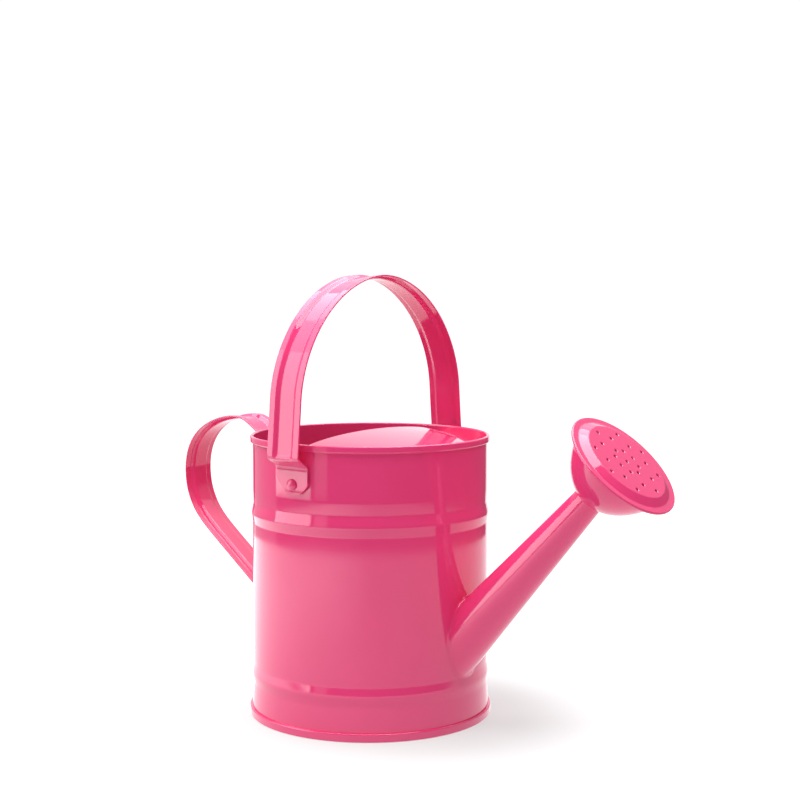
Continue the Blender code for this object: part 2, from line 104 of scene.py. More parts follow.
# ---- spout and rose --------------------------------------------------------------------------
SPOUT_FOOT_Z = 0.0509        # where its axis meets the wall
SPOUT_ANGLE = math.radians(47.06)
SPOUT_R = 0.01447            # radius at the wall
SPOUT_TAPER = 0.0577         # loss of radius along the way
SPOUT_LEN = 0.1134
SPOUT_SHEET = 0.0006
SPOUT_FACETS = 128
SPOUT_ROWS = 40
SOLDER_FACETS = 160
SOLDER_SECTION = 9
SOLDER_REACH = 0.0013
SOLDER_UNEVEN = 0.0004
SOLDER_SINK = 0.0005         # how far the bead's hidden sides lie inside the sheets
SOLDER_LIFT = 0.15           # how full the bead is between its two edges
SOLDER_CREASE = 60.0
DROP_REACH = 0.0010          # the drop at the top of the bead
DROP_RISE = 0.0006
DROP_LIFT = 1.25
DROP_SPREAD = 0.13
DROP_LEAST = 0.02
MEET_RANGE = 0.045           # the search for the line where the spout meets the wall
MEET_HALVINGS = 44
ROSE_CENTRE = Vector((0.1631, 0.0, 0.1531))
ROSE_ANGLE = math.radians(46.2)
ROSE_SHEET = 0.0005
FACE_R = 0.0240              # raised flat plate
FACE_FOOT_R = 0.0285
FACE_STEP = 0.0023           # how high it stands over the flange
FACE_SOFT = (0.0016, 0.0010)  # rounding of the step, outside and inside
FLANGE_T = 0.0013            # height of the crimped edge, and its thickness
SKIRT_T = 0.0009
CRIMP_SOFT = (0.0007, 0.0005, 0.0003)
BOWL_OFFSET = 0.0010         # the bowl sits this far below the face's middle
BOWL_R = 0.0298
BOWL_DEPTH = 0.0436
BOWL_CENTRE = 0.0126
BOWL_BACK = -0.0296
BOWL_STEPS = 40
HOLE_R = 0.0008
HOLE_RINGS = ((0.0078, 0.0), (0.0156, 22.5), (0.0206, 0.0))  # radius, turn in degrees
HOLES_PER_RING = 8
HOLE_PHASE = 10.5
HOLE_FACETS = 20
HOLE_DEPTH = 0.0012
HOLE_CREASE = 24.0
SINK_R = 0.0012              # countersink
SINK_DEPTH = 0.00034
SINK_OVER = 0.0003           # how far the cutter reaches over the plate

# ---- straps and rivets -----------------------------------------------------------------------
STRAP_SHEET = 0.0009
STRAP_STEP = 0.0016          # spacing of the sections along the strap
STRAP_CREASE = 50.0
EDGE_EASE = 0.00035          # rounding of the long edges and of the ends
EDGE_STEPS = 4
EDGE_FLAT = 0.0002
END_EASE = 0.0003
END_ROWS = 4
CHANNEL_DEPTH = 0.0016
CHANNEL_HALF = 0.0048        # half width of the channel's flat bottom
CHANNEL_SLOPE = 0.0020       # width of each of its slopes
CORNER_EASE = 0.0008         # width over which its corners are rounded
EASE_SAMPLES = 15
SLOPE_STEPS = 10
SLOPE_MARGIN = 0.0008
FLAT_PLACES = (0.0086, 0.0026)
SLOPE_PROBE = 0.00005
EAR_Y = 0.0673               # inner face of the flat ears
EAR_BOTTOM = 0.1307
EAR_TOP = 0.1446
EAR_FULL = 0.1500            # height over which the strap has its full width
EAR_CORNERS = (  # across, height, rounding
    (-STRAP_HALF, EAR_FULL, 0.0), (-STRAP_HALF, 0.1385, 0.0020),
    (-0.0042, EAR_BOTTOM, 0.0016), (0.0063, EAR_BOTTOM, 0.0016),
    (STRAP_HALF, 0.1352, 0.0016), (STRAP_HALF, EAR_FULL, 0.0),
)
EAR_MIDDLE = 0.001
EAR_SUPPORT = 0.00001
JOGGLE_TOP = 0.1496          # the bend that carries the leg out past the rim
JOGGLE_R = 0.0022
JOGGLE_STEPS = 9
JOGGLE_FADE = (0.0012, 0.0022)  # where the channel fades in, below and above the joggle's top
LEG_Y = 0.0752
ARCH_A = 0.0727              # half width and height of the arch, a superellipse
ARCH_B = 0.0696
ARCH_Z = 0.1766
ARCH_POWER = 1.89
ARCH_STEPS = 72
SMOOTHING = 14               # passes that spread out changes of curvature
EASED_ABOVE = 0.008          # they start this far over the joggle
EASED_BEHIND = 0.012         # and this far behind the wall
BEND_STEPS = 10
TAB_X = -0.0672              # inner face of the rear handle's tabs
TAB_TOP_LOW = 0.1385
TAB_TOP_BEND = 0.1500
REAR_LEAD = (-0.0765, 0.1552)  # places along the rear loop, from its top end down
REAR_TOP = (-0.0930, 0.1630)
REAR_BACK = (-0.1347, 0.1276)
REAR_STRAIGHT = (-0.1142, 0.0911)
REAR_SLOPE = math.radians(38.4)
REAR_STEPS = (20, 40, 26)
REAR_FADE = (0.0035, 0.0100)   # the channel fades in behind the wall
REAR_HUG = (0.0014, 0.0090)    # and the tab's curve round the wall fades out
LEAD_PULL = 0.0050
TOP_PULL = (0.0070, 0.0120)
BACK_PULL = (0.0290, 0.0190)
STRAIGHT_PULL = 0.0120
TAB_BEND_R = 0.0030
FOOT_BEND_R = 0.0040
TAB_FOOT_LOW = 0.0400
RIVET_STEPS = 12
RIVET_LIP = 0.0002           # height of the head's straight edge
RIVET_EASE = 0.0001
PIN_R = 0.0020
SET_HEAD_R = 0.0034          # flat head inside the wall
SET_HEAD_TOP_R = 0.0024
SET_HEAD_T = 0.0007

# ---- paint -----------------------------------------------------------------------------------
SEED_SHIFT = (0.37, 0.11, 0.73)
TINTS = ((0.35, (0.765, 0.046, 0.178, 1.0)), (0.68, (0.795, 0.050, 0.190, 1.0)))
TINT_SCALE = 22.0
TINT_DETAIL = 3.0
GLOSS = (0.05, 0.10)
PAINT_IOR = 1.5
WAVE_SCALE = 55.0
WAVE_STRENGTH = 0.5
WAVE_DEPTH = 0.00005

# ---- studio ----------------------------------------------------------------------------------
CAMERA_AT = Vector((0.54163 + AXIS_X, -0.69326, 0.24754))
CAMERA_BEARING = math.atan2(CAMERA_AT.x - AXIS_X, -CAMERA_AT.y)
CAMERA_TURN = (math.radians(85.346), 0.0, math.radians(36.906))
CAMERA_LENS = 70.77
CAMERA_SENSOR = 36.0
BACKDROP = 1.05              # the world as the camera, the paint's colour and its gloss see it
FILL = 0.42
ROOM = 0.12
FLOOR_Z = -0.0001
FLOOR_R = 6.0
FLOOR_STEPS = 128
FLOOR_COLOR = (0.30, 0.30, 0.30)
FLOOR_GLOW = 0.50            # what it gives to the object
FLOOR_SEEN_IN_PAINTED_SHADOW = 0.50       # and what the camera sees, near the can and further out; the lower value near the can is a painted shadow round the foot
FLOOR_SEEN_FAR = 1.00
FLOOR_PAINTED_SHADOW_FADE = (0.06, 0.17)    # distances from the middle over which that changes: the painted shadow round the foot fades into the white
TABLE_Z = -0.00005
TABLE_R = 0.62
TABLE_GLOW = 1.4             # the table in reflections, and its left side
TABLE_LEFT_GLOW = 3.0
TABLE_FADE = (0.05, -0.45)   # rightward distances over which that changes
TABLE_STEPS = 96
LAMP_DISTANCE = 1.3
LAMP_SIZE = 1.2
LAMPS = (  # name, bearing, elevation in degrees, power
    ("key", -84, 64, 20.0),
    ("side", 80, 74, 11.0),
)
OVERHEAD_AT = (AXIS_X + 0.10, 0.12, 1.05)
OVERHEAD_HALF = 0.50
OVERHEAD_GLOW = 8.0
LAMP_AIM_Z = 0.1
CARD_R = 0.95
CARD_STEPS = 24
CARDS = (  # name, first and last bearing, lowest and highest point, radiance
    ("left_strip", -53, -40, 0.0, 0.36, 1.1),
    ("left_box", -100, -57, 0.0, 0.90, 5.0),
    ("left_back", -148, -100, -0.4, 0.90, 0.7),
    ("left_high", -120, -57, 0.90, 1.4, 3.2),
    ("back_high", 100, 240, 1.05, 1.7, 5.0),
    ("back", 152, 212, -0.4, 0.75, 1.35),
    ("right_low", 105, 152, 0.30, 0.75, 0.6),
    ("back_right", 105, 240, 0.75, 1.05, 1.7),
)


# ---- mesh helpers ----------------------------------------------------------------------------
def piece_from(name, points, faces, body, node, matrix=CAN, crease=CREASE):
    mesh = bpy.data.meshes.new(name)
    mesh.from_pydata(points, [], faces)
    mesh.transform(matrix)
    bm = bmesh.new()
    bm.from_mesh(mesh)
    bmesh.ops.recalc_face_normals(bm, faces=bm.faces)
    bm.to_mesh(mesh)
    bm.free()
    mesh.shade_smooth()
    mesh.set_sharp_from_angle(angle=math.radians(crease))
    piece = bpy.data.objects.new(name, mesh)
    bpy.context.scene.collection.objects.link(piece)
    if body:
        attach(piece, body)
        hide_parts(node)
    return piece


def carve(piece, cutter, crease=CREASE):
    """Cuts the cutter out of the piece and removes it."""
    mod = piece.modifiers.new("carve", "BOOLEAN")
    mod.object = cutter
    mod.solver = "EXACT"
    bpy.context.view_layer.update()
    shaped = piece.evaluated_get(bpy.context.evaluated_depsgraph_get())
    done = bpy.data.meshes.new_from_object(shaped)
    piece.modifiers.clear()
    done.name = piece.name
    piece.data = done
    done.materials.clear()
    bm = bmesh.new()
    bm.from_mesh(done)
    bmesh.ops.remove_doubles(bm, verts=bm.verts, dist=WELD)
    bmesh.ops.dissolve_degenerate(bm, edges=bm.edges, dist=WELD)
    bm.to_mesh(done)
    bm.free()
    done.shade_smooth()
    done.set_sharp_from_angle(angle=math.radians(crease))
    bpy.data.objects.remove(cutter, do_unlink=True)


def ring_faces(rows, count, closed):
    """Quads between successive rings of count points."""
    faces = []
    pairs = rows if closed else rows - 1
    for row in range(pairs):
        a = row * count
        b = (row + 1) % rows * count
        for i in range(count):
            j = (i + 1) % count
            faces.append((a + i, a + j, b + j, b + i))
    return faces


def lathe(name, outline, body, node, matrix=CAN, facets=ROUND_FACETS, crease=CREASE):
    """Turns (radius, height) points about Z; one that starts and ends at radius 0 gets poles."""
    poles = outline[0][0] < 1e-7
    rim = outline[1:-1] if poles else outline
    points = []
    for r, z in rim:
        for i in range(facets):
            angle = math.tau * i / facets
            points.append((r * math.cos(angle), r * math.sin(angle), z))
    faces = ring_faces(len(rim), facets, not poles)
    if poles:
        top = len(points)
        points += [(0.0, 0.0, outline[0][1]), (0.0, 0.0, outline[-1][1])]
        last = (len(rim) - 1) * facets
        for i in range(facets):
            j = (i + 1) % facets
            faces.append((top, j, i))
            faces.append((top + 1, last + i, last + j))
    return piece_from(name, points, faces, body, node, matrix, crease)


def rounded(corners, closed=False, support=SUPPORT):
    """Points of an outline through (u, v, radius) corners, each rounded by its radius."""
    count = len(corners)
    points = []
    for i, (u, v, radius) in enumerate(corners):
        here = Vector((u, v))
        if radius <= 0 or (not closed and i in (0, count - 1)):
            points.append(here)
            continue
        before = Vector(corners[i - 1][:2])
        after = Vector(corners[(i + 1) % count][:2])
        into = (here - before).normalized()
        out = (after - here).normalized()
        bend = into.angle(out)
        reach = min(radius * math.tan(bend / 2), 0.48 * (here - before).length,
                    0.48 * (after - here).length)
        handle = reach / math.tan(bend / 2) * math.tan(bend / 4) * 4 / 3
        start = here - into * reach
        end = here + out * reach
        arc = interpolate_bezier(start, start + into * handle, end - out * handle, end,
                                 max(4, int(math.degrees(bend) / 14) + 2))
        points += [start - into * support] + [Vector(p[:2]) for p in arc] + [end + out * support]
    return points


def smooth(value, low, high):
    share = min(1.0, max(0.0, (value - low) / (high - low)))
    return share * share * (3.0 - 2.0 * share)


# ---- body ------------------------------------------------------------------------------------
def make_wall():
    rim_low = HEIGHT - RIM_H
    inner = WALL_R - SHEET
    outline = rounded([
        (inner, HEIGHT, RIM_SOFT[0]), (RIM_R, HEIGHT, RIM_SOFT[1]),
        (RIM_R, rim_low, RIM_SOFT[2]), (WALL_R, rim_low, RIM_SOFT[3]),
        (WALL_R, BAND_Z + BAND_LEAD[0], BAND_LEAD[1]),
        (WALL_R - BAND_DIP, BAND_Z + BAND_HALF + BAND_GAP, BAND_SOFT[0]),
        (WALL_R + BAND_RISE, BAND_Z, BAND_SOFT[0]), (WALL_R, BAND_Z - BAND_HALF, BAND_SOFT[1]),
        (WALL_R, BAND_LOW_Z + BAND_HALF, BAND_SOFT[0]),
        (WALL_R + BAND_RISE, BAND_LOW_Z, BAND_SOFT[1]),
        (WALL_R, BAND_LOW_Z - BAND_HALF, SKIRT_SOFT), (SKIRT_R, HEM_H + HEM_TUCK, 0.0),
        (SKIRT_R, HEM_H - SKIRT_TUCK, 0.0), (SKIRT_R - SHEET, HEM_H - SKIRT_TUCK, 0.0),
        (inner, BAND_LOW_Z, SKIRT_SOFT), (inner, BAND_Z + INSIDE_TOP, 0.0),
    ], closed=True)
    wall = lathe("wall", outline, "can", "body_wall", facets=BODY_FACETS)
    low, high = BORE_ENDS
    bore = cone("bore", spout_radius(low) - SPOUT_SHEET, low,
                spout_radius(high) - SPOUT_SHEET, high, spout_matrix())
    carve(wall, bore)
    return wall


def cone(name, r_low, low, r_high, high, matrix, facets=SMALL_FACETS):
    outline = [(0.0, high), (r_high, high), (r_low, low), (0.0, low)]
    return lathe(name, outline, None, None, matrix, facets)


def make_base():
    top = BASE_RECESS + BASE_SHEET
    leg = SKIRT_R - SHEET
    outline = rounded([
        (0.0, top, 0.0), (leg, top, 0.0008), (leg, HEM_H - HEM_TUCK, 0.0),
        (SKIRT_R - HEM_GAP, HEM_H - HEM_TUCK, 0.0), (SKIRT_R - HEM_GAP, HEM_H, 0.00008),
        (HEM_R, HEM_H, 0.0010), (HEM_R, 0.0, 0.0006), (leg - 0.0008, 0.0, 0.0005),
        (leg - 0.0010, BASE_RECESS, 0.0006), (0.0, BASE_RECESS, 0.0),
    ])
    return lathe("foot", outline, "can", "base_plate", facets=BODY_FACETS)


def cover_height(x, r, radius):
    dome = max(0.0, 1.0 - (r / radius) ** 2) ** COVER_POWER
    return COVER_FRONT_Z + COVER_RISE * dome + COVER_TILT * (1.0 - x / radius)


def make_cover():
    """Half of a tilted dome: rows run from the straight edge round to the front."""
    radius = WALL_R - SHEET * COVER_INSET
    rows, columns = COVER_ROWS, COVER_COLUMNS
    top = []
    for row in range(rows + 1):
        share = row / rows
        x = COVER_CHORD_X + (radius - 0.0000005 - COVER_CHORD_X) * math.sin(share * math.pi / 2)
        reach = math.sqrt(max(0.0, radius ** 2 - x * x))
        line = []
        for column in range(columns + 1):
            y = reach * math.sin(math.pi * (column / columns - 0.5))
            line.append(Vector((x, y, cover_height(x, math.hypot(x, y), radius))))
        top.append(line)
    points = []
    for lines, drop in ((top, 0.0), (top, SHEET)):
        for line in lines:
            points += [(p.x, p.y, p.z - drop) for p in line]
    wide = columns + 1
    under = (rows + 1) * wide
    faces = []
    for row in range(rows):
        for column in range(columns):
            a = row * wide + column
            quad = (a, a + 1, a + 1 + wide, a + wide)
            faces.append(quad)
            faces.append(tuple(under + i for i in reversed(quad)))
    edge = list(range(wide))
    edge += [row * wide + columns for row in range(1, rows + 1)]
    edge += [rows * wide + column for column in range(columns - 1, -1, -1)]
    edge += [row * wide for row in range(rows - 1, 0, -1)]
    for i, a in enumerate(edge):
        b = edge[(i + 1) % len(edge)]
        faces.append((a, b, under + b, under + a))
    cover = piece_from("cover", points, faces, "can", "splash_cover")
    tidy_mesh(cover)
    return cover


def tidy_mesh(piece):
    """Joins points that fall together and drops the empty faces that leaves."""
    bm = bmesh.new()
    bm.from_mesh(piece.data)
    bmesh.ops.remove_doubles(bm, verts=bm.verts, dist=COVER_WELD)
    bmesh.ops.recalc_face_normals(bm, faces=bm.faces)
    bm.to_mesh(piece.data)
    bm.free()
    piece.data.shade_smooth()
    piece.data.set_sharp_from_angle(angle=math.radians(CREASE))


# ---- spout -----------------------------------------------------------------------------------
def spout_matrix():
    turned = Matrix.Rotation(math.pi / 2 - SPOUT_ANGLE, 4, "Y")
    return CAN @ Matrix.Translation((WALL_R, 0.0, SPOUT_FOOT_Z)) @ turned


def spout_radius(along):
    return SPOUT_R - SPOUT_TAPER * along


def spout_spot(angle, along, grow=0.0):
    """A point on the grown spout, in the can's frame."""
    r = spout_radius(along) + grow
    local = Vector((r * math.cos(angle), r * math.sin(angle), along))
    turned = Matrix.Rotation(math.pi / 2 - SPOUT_ANGLE, 3, "Y")
    return turned @ local + Vector((WALL_R, 0.0, SPOUT_FOOT_Z))


def meeting(angle, wall, grow=0.0):
    """How far along the spout its side at this angle meets a cylinder of radius wall."""
    low, high = -MEET_RANGE, MEET_RANGE
    for _ in range(MEET_HALVINGS):
        mid = (low + high) / 2
        spot = spout_spot(angle, mid, grow)
        if math.hypot(spot.x, spot.y) < wall:
            low = mid
        else:
            high = mid
    return (low + high) / 2


def make_spout():
    facets = SPOUT_FACETS
    rows = SPOUT_ROWS
    points = []
    order = [(0.0, i / rows) for i in range(rows + 1)]
    order += [(-SPOUT_SHEET, 1.0 - i / rows) for i in range(rows + 1)]
    for grow, share in order:
        for i in range(facets):
            angle = math.tau * i / facets
            start = meeting(angle, WALL_R - SHEET / 2, grow)
            points.append(spout_spot(angle, start + (SPOUT_LEN - start) * share, grow))
    faces = ring_faces(len(order), facets, True)
    return piece_from("spout", points, faces, "can", "spout_tube")


def make_solder():
    """Fillet round the spout's foot, with a drop where the pour ended at the top."""
    facets = SOLDER_FACETS
    section = SOLDER_SECTION
    points = []
    for i in range(facets):
        angle = math.tau * i / facets
        spot = spout_spot(angle, meeting(angle, WALL_R))
        away = (spot - spout_spot(angle, meeting(angle, WALL_R) - 0.001)).normalized()
        tube_out = (spout_spot(angle, 0.0, 0.001) - spout_spot(angle, 0.0)).normalized()
        wall_out = Vector((spot.x, spot.y, 0.0)).normalized()
        along_wall = (tube_out - wall_out * tube_out.dot(wall_out)).normalized()
        turn = math.atan2(math.sin(angle - math.pi), math.cos(angle - math.pi))
        drop = math.exp(-(turn / DROP_SPREAD) ** 2)
        uneven = SOLDER_UNEVEN * math.sin(5 * angle + 1.0) * math.sin(2 * angle)
        reach = SOLDER_REACH + uneven + DROP_REACH * drop
        lift = SOLDER_LIFT + DROP_LIFT * drop
        outward = (wall_out + tube_out).normalized()
        a = spot + along_wall * reach
        b = spot + away * reach
        control = spot + outward * reach * lift
        for step in range(section):
            t = step / (section - 1)
            p = a.lerp(control, t).lerp(control.lerp(b, t), t)
            if drop > DROP_LEAST:
                arch = math.sin(math.pi * t)
                p = p + outward * DROP_RISE * drop * arch
            points.append(p)
        points.append(b - tube_out * SOLDER_SINK)
        points.append(spot - wall_out * SOLDER_SINK - tube_out * SOLDER_SINK)
        points.append(a - wall_out * SOLDER_SINK)
    faces = ring_faces(facets, section + 3, True)
    return piece_from("solder", points, faces, "can", "spout_seam", crease=SOLDER_CREASE)


# ---- rose ------------------------------------------------------------------------------------
def rose_matrix(offset=0.0):
    turned = Matrix.Rotation(math.pi / 2 - ROSE_ANGLE, 4, "Y")
    moved = Matrix.Translation((-offset, 0.0, 0.0))
    return CAN @ Matrix.Translation(ROSE_CENTRE) @ turned @ moved


def bowl_point(angle, shrink=1.0):
    return (BOWL_R * math.sin(angle) * shrink, BOWL_CENTRE - BOWL_DEPTH * math.cos(angle) * shrink)


def make_bowl():
    flange_top = -FACE_STEP - ROSE_SHEET
    flange_low = flange_top - ROSE_SHEET
    edge = FLANGE_R - SKIRT_T - BOWL_OFFSET
    start = math.acos((BOWL_CENTRE - flange_low) / BOWL_DEPTH)
    end = math.acos((BOWL_CENTRE - BOWL_BACK) / BOWL_DEPTH)
    steps = BOWL_STEPS
    angles = [start + (end - start) * i / steps for i in range(steps + 1)]
    outside = [bowl_point(a) for a in angles]
    shrink = 1.0 - ROSE_SHEET / BOWL_R
    inside = [bowl_point(a, shrink) for a in reversed(angles)]
    outline = [(outside[0][0] - ROSE_SHEET, flange_top), (edge, flange_top), (edge, flange_low)]
    outline += outside + inside
    return lathe("bowl", outline, "can", "rose_bowl", rose_matrix(BOWL_OFFSET))


def make_face():
    t = ROSE_SHEET
    top = -FACE_STEP
    low = top - FLANGE_T
    outline = rounded([
        (0.0, 0.0, 0.0), (FACE_R, 0.0, FACE_SOFT[0]), (FACE_FOOT_R, top, FACE_SOFT[0]),
        (FLANGE_R, top, CRIMP_SOFT[0]), (FLANGE_R, low, CRIMP_SOFT[1]),
        (FLANGE_R - SKIRT_T, low, CRIMP_SOFT[2]), (FLANGE_R - SKIRT_T, top - t, 0.0),
        (FACE_FOOT_R, top - t, FACE_SOFT[1]), (FACE_R, -t, FACE_SOFT[1]), (0.0, -t, 0.0),
    ])
    face = lathe("face", outline, "can", "rose_face", rose_matrix())
    drill_points, drill_faces = [], []
    facets = HOLE_FACETS
    spots = [(0.0, 0.0)]
    for radius, offset in HOLE_RINGS:
        for step in range(HOLES_PER_RING):
            angle = math.radians(HOLE_PHASE + offset + 360.0 * step / HOLES_PER_RING)
            spots.append((radius * math.cos(angle), radius * math.sin(angle)))
    profile = ((SINK_R + SINK_OVER, SINK_OVER), (SINK_R, 0.0),
               (HOLE_R, -SINK_DEPTH), (HOLE_R, -HOLE_DEPTH))
    for x, y in spots:
        base = len(drill_points)
        for r, z in profile:
            for i in range(facets):
                a = math.tau * i / facets
                drill_points.append((x + r * math.cos(a), y + r * math.sin(a), z))
        rings = ring_faces(len(profile), facets, False)
        drill_faces += [tuple(base + i for i in quad) for quad in rings]
        drill_faces.append(tuple(base + i for i in range(facets)))
        last = base + (len(profile) - 1) * facets
        drill_faces.append(tuple(last + i for i in reversed(range(facets))))
    drills = piece_from("drills", drill_points, drill_faces, None, None, rose_matrix())
    carve(face, drills, crease=HOLE_CREASE)
    return face


# ---- straps ----------------------------------------------------------------------------------
def channel_share(across):
    """Share of the full channel depth at a place across the strap, with eased corners."""
    wide = CHANNEL_HALF + CHANNEL_SLOPE
    total = 0.0
    for i in range(EASE_SAMPLES):
        u = abs(across + CORNER_EASE * ((i + 0.5) / EASE_SAMPLES - 0.5))
        total += min(1.0, max(0.0, (wide - u) / CHANNEL_SLOPE))
    return total / EASE_SAMPLES


def section_points():
    """Closed outline of the sheet's section: (across, share of channel depth, depth into sheet)."""
    ease = EDGE_EASE
    half = STRAP_HALF
    inner = [-half + ease, -half + ease + EDGE_FLAT, -FLAT_PLACES[0]]
    low = CHANNEL_HALF - SLOPE_MARGIN
    high = CHANNEL_HALF + CHANNEL_SLOPE + SLOPE_MARGIN
    inner += [-(high - (high - low) * i / SLOPE_STEPS) for i in range(SLOPE_STEPS + 1)]
    inner += [-FLAT_PLACES[1], 0.0]
    across = inner + [-u for u in reversed(inner[:-1])]
    outer = [(u, 0.0) for u in across]
    under = [(u, STRAP_SHEET) for u in reversed(across)]
    turn = []
    for step in range(1, EDGE_STEPS):
        a = math.pi / 2 * step / EDGE_STEPS
        turn.append((half - ease + ease * math.sin(a), ease - ease * math.cos(a)))
    turn.append((half, ease))
    right = turn + [(u, STRAP_SHEET - d) for u, d in reversed(turn)]
    left = [(-u, d) for u, d in reversed(right)]
    return outer + right + under + left


def path_normals(path):
    """Left-hand normals of a planar path of (u, z) points."""
    normals = []
    for i in range(len(path)):
        ahead = path[min(i + 1, len(path) - 1)] - path[max(i - 1, 0)]
        ahead.normalize()
        normals.append(Vector((-ahead.y, ahead.x)))
    return normals


def fillet(a, corner, b, radius, count):
    """Points of an arc that rounds the corner between a and b."""
    into = (corner - a).normalized()
    out = (b - corner).normalized()
    turn = into.angle(out)
    back = radius * math.tan(turn / 2)
    start = corner - into * back
    end = corner + out * back
    handle = radius * math.tan(turn / 4) * 4 / 3
    return interpolate_bezier(start, start + into * handle, end - out * handle, end, count)


def even(path, spacing):
    """The same path with points added so that none are further apart than spacing."""
    dense = [path[0]]
    for a, b in zip(path, path[1:]):
        parts = max(1, math.ceil((b - a).length / spacing))
        dense += [a.lerp(b, (i + 1) / parts) for i in range(parts)]
    return dense


def eased(path, free):
    """The same path with its changes of curvature spread out wherever free says so."""
    for _ in range(SMOOTHING):
        path = [(before + p * 2.0 + after) / 4.0 if free(p) else p
                for before, p, after in zip(path[:1] + path[:-1], path, path[1:] + path[-1:])]
    return path


def strap_piece(name, path, normals, depth_at, place, body, node, trim=None):
    """Lofts the sheet's section along the path; place turns (across, out, spot) into a point."""
    section = section_points()
    shares = [channel_share(u) for u, _ in section]
    step = SLOPE_PROBE
    slopes = [(channel_share(u + step) - channel_share(u - step)) / (2 * step) for u, _ in section]
    last = len(path) - 1
    ends = [0] * END_ROWS + list(range(last + 1)) + [last] * END_ROWS
    points = []
    for row, index in enumerate(ends):
        spot, normal = path[index], normals[index]
        ahead = Vector((normal.y, -normal.x))
        turn = 1.0
        shift = 0.0
        from_end = min(row, len(ends) - 1 - row)
        if from_end < END_ROWS:
            a = math.pi / 2 * from_end / END_ROWS
            turn = math.sin(a)
            shift = END_EASE * math.cos(a) * (-1.0 if row < END_ROWS else 1.0)
        depth = depth_at(spot)
        low, high = trim(spot) if trim else (-STRAP_HALF, STRAP_HALF)
        for (u, inside), share, slope in zip(section, shares, slopes):
            middle = STRAP_SHEET / 2
            squeeze = 1.0 - (1.0 - turn) * END_EASE / middle
            inside = middle + (inside - middle) * squeeze
            x = low + (high - low) * (u / STRAP_HALF * 0.5 + 0.5)
            centre = (low + high) / 2
            x = centre + (x - centre) * (1.0 - (1.0 - turn) * END_EASE / STRAP_HALF)
            tilt = math.atan(depth * slope)
            out = -depth * share - inside * math.cos(tilt)
            across = x - inside * math.sin(tilt)
            points.append(place(across, out, spot + ahead * shift, normal))
    count = len(section)
    faces = ring_faces(len(ends), count, False)
    faces.append(tuple(range(count)))
    faces.append(tuple(reversed(range((len(ends) - 1) * count, len(ends) * count))))
    return piece_from(name, points, faces, body, node, crease=STRAP_CREASE)


def bail_half_path():
    ear_low = Vector((EAR_Y, EAR_BOTTOM))
    ear_bend = Vector((EAR_Y, EAR_TOP))
    leg_bend = Vector((LEG_Y, JOGGLE_TOP))
    spring = Vector((ARCH_A, ARCH_Z))
    path = [ear_low]
    path += fillet(ear_low, ear_bend, leg_bend, JOGGLE_R, JOGGLE_STEPS)
    path += fillet(ear_bend, leg_bend, spring, JOGGLE_R, JOGGLE_STEPS)
    for step in range(ARCH_STEPS + 1):
        angle = math.pi / 2 * step / ARCH_STEPS
        out = ARCH_A * max(0.0, math.cos(angle)) ** (2 / ARCH_POWER)
        path.append(Vector((out, ARCH_Z + ARCH_B * math.sin(angle) ** (2 / ARCH_POWER))))
    path[-1].x = 0.0
    return even(path, STRAP_STEP)


def ear_chains():
    """Left and right edges of the ear as (heights, places) for interpolation."""
    outline = rounded(EAR_CORNERS, support=EAR_SUPPORT)
    left = [p for p in reversed(outline) if p.x < EAR_MIDDLE]
    right = [p for p in outline if p.x > EAR_MIDDLE]
    return (([p.y for p in left], [p.x for p in left]),
            ([p.y for p in right], [p.x for p in right]))


def make_bail():
    half = bail_half_path()
    path = [Vector((-p.x, p.y)) for p in half] + list(reversed(half[:-1]))
    path = eased(path, lambda spot: spot.y > JOGGLE_TOP + EASED_ABOVE)
    normals = path_normals(path)
    (rear_z, rear_x), (front_z, front_x) = ear_chains()

    def depth_at(spot):
        below, above = JOGGLE_FADE
        return CHANNEL_DEPTH * smooth(spot.y, JOGGLE_TOP - below, JOGGLE_TOP + above)

    def trim(spot):
        return (float(np.interp(spot.y, rear_z, rear_x)),
                float(np.interp(spot.y, front_z, front_x)))

    def place(across, out, spot, normal):
        p = spot + normal * out
        return (across, p.x, p.y)

    return strap_piece("bail", path, normals, depth_at, place, "bail", "bail_handle", trim)


def rear_path():
    tab_low = Vector((TAB_X, TAB_TOP_LOW))
    tab_bend = Vector((TAB_X, TAB_TOP_BEND))
    lead = Vector(REAR_LEAD)
    top = Vector(REAR_TOP)
    back = Vector(REAR_BACK)
    straight = Vector(REAR_STRAIGHT)
    along = Vector((math.cos(REAR_SLOPE), -math.sin(REAR_SLOPE)))
    foot_bend = straight + along * ((TAB_X - straight.x) / along.x)
    foot_low = Vector((TAB_X, TAB_FOOT_LOW))
    path = [tab_low]
    path += fillet(tab_low, tab_bend, lead, TAB_BEND_R, BEND_STEPS)
    rise = (lead - tab_bend).normalized()
    path += interpolate_bezier(lead, lead + rise * LEAD_PULL,
                               top + Vector((TOP_PULL[0], 0)), top, REAR_STEPS[0])
    path += interpolate_bezier(top, top - Vector((TOP_PULL[1], 0)),
                               back + Vector((0, BACK_PULL[0])), back, REAR_STEPS[1])[1:]
    path += interpolate_bezier(back, back - Vector((0, BACK_PULL[1])),
                               straight - along * STRAIGHT_PULL, straight, REAR_STEPS[2])[1:]
    path += fillet(straight, foot_bend, foot_low, FOOT_BEND_R, BEND_STEPS)
    path.append(foot_low)
    return even(path, STRAP_STEP)


def make_rear():
    path = eased(rear_path(), lambda spot: -spot.x > WALL_R + EASED_BEHIND)
    normals = [-n for n in path_normals(path)]

    def depth_at(spot):
        return CHANNEL_DEPTH * smooth(-spot.x - WALL_R, *REAR_FADE)

    def place(across, out, spot, normal):
        p = spot + normal * out
        hug = 1.0 - smooth(-spot.x - WALL_R, *REAR_HUG)
        sag = WALL_R - math.sqrt(WALL_R ** 2 - across ** 2)
        return (p.x + sag * hug, across, p.y)

    return strap_piece("rear_loop", path, normals, depth_at, place, "can", "rear_handle")


